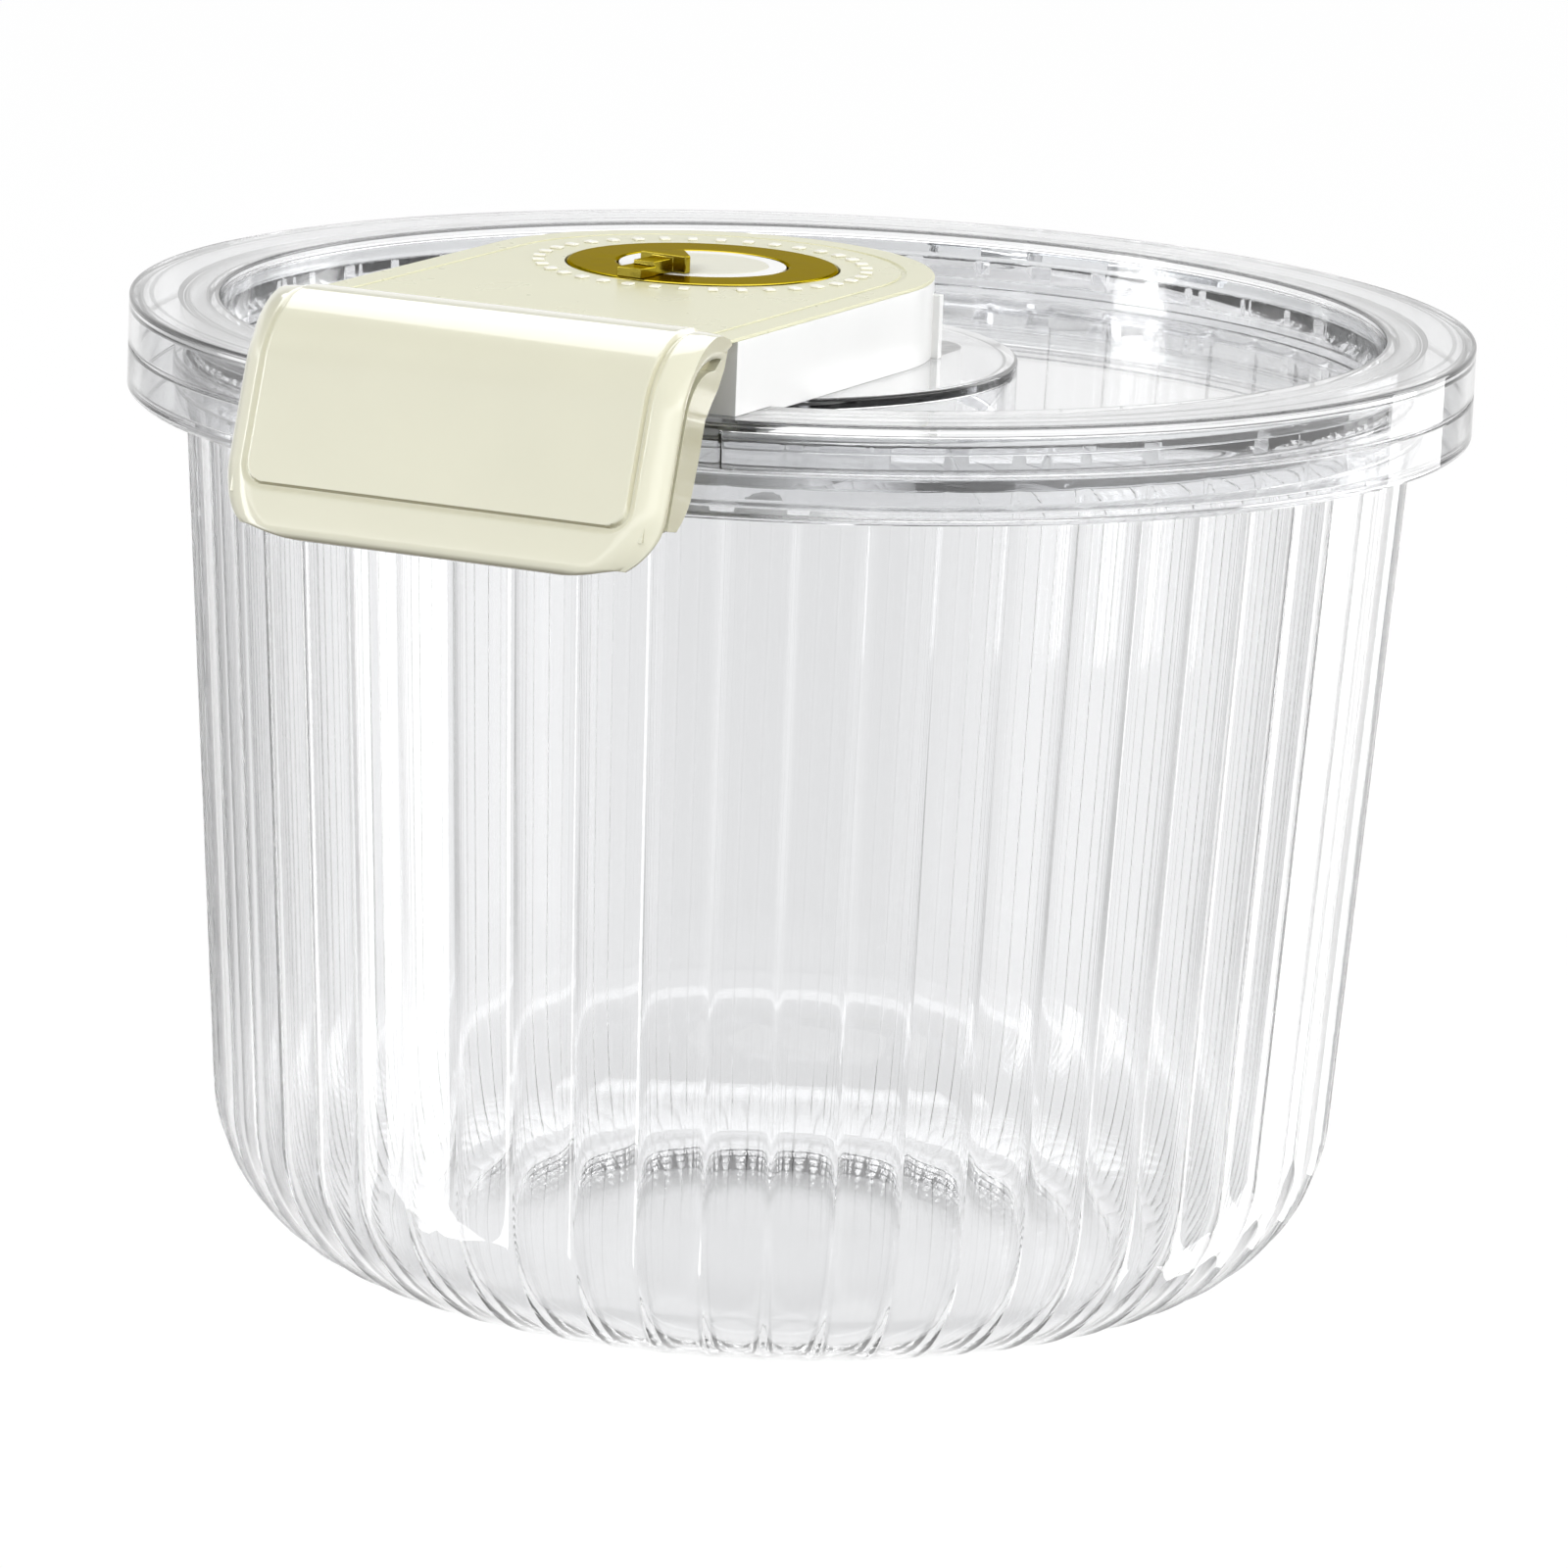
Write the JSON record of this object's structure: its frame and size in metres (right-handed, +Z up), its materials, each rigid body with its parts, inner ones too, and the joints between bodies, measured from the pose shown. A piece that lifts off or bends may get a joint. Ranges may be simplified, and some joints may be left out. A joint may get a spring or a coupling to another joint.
{
  "type": "rice bin with flip lid",
  "caption": "Round clear fluted rice bin with a rear-hinged flip lid, a front latch flap, a dial on the lid and a desiccant box under it.",
  "frame": {"origin": "centre of the flat base, on the surface that the bin stands on", "axes": "+Z up; the latch flap is at the front, -Y, and the lid's hinge at the back, +Y; +X to the viewer's right from the front"},
  "size_m": [0.255, 0.2862, 0.202],
  "materials": {
    "clear_tub": "clear, polished, fluted outside",
    "clear_lid": "clear, polished",
    "cream_plastic": "satin",
    "white_plastic": "satin",
    "beige_plastic": "matte",
    "pale_print": "satin",
    "gold": "gold-plated, polished",
    "silicone": "translucent",
    "paper": "matte paper",
    "steel": "bright"
  },
  "bodies": {
    "bin": {"tub": "clear_tub", "collar_ring": "clear_lid", "hinge_pin": "steel"},
    "lid": {"lid_panel": "clear_lid", "lid_gasket": "silicone", "dial_housing": "white_plastic", "housing_screws": "steel", "top_plate": "cream_plastic", "scale_marks": "pale_print", "dial_hub": "white_plastic", "hub_clip": "steel", "centre_disc": "beige_plastic", "latch_pin": "steel", "desiccant_box": "white_plastic", "desiccant_sachet": "paper", "cover_pin": "steel"},
    "dial": {"dial_ring": "gold", "dial_pointer": "gold"},
    "flap": {"latch_flap": "cream_plastic"},
    "cover": {"desiccant_cover": "white_plastic"}
  },
  "joints": [
    {"name": "lid_hinge", "type": "hinge", "parent": "bin", "child": "lid", "pos_m": [0, 0.132, 0.1755], "axis": [-1, 0, 0], "range_deg": [0, 110]},
    {"name": "flap_hinge", "type": "hinge", "parent": "lid", "child": "flap", "pos_m": [0, -0.1245, 0.1949], "axis": [-1, 0, 0], "range_deg": [0, 75]},
    {"name": "dial_turn", "type": "hinge", "parent": "lid", "child": "dial", "pos_m": [0, -0.044, 0.199], "axis": [0, 0, 1], "continuous": true},
    {"name": "cover_hinge", "type": "hinge", "parent": "lid", "child": "cover", "pos_m": [0, -0.0047, 0.1656], "axis": [1, 0, 0], "range_deg": [0, 90]}
  ]
}
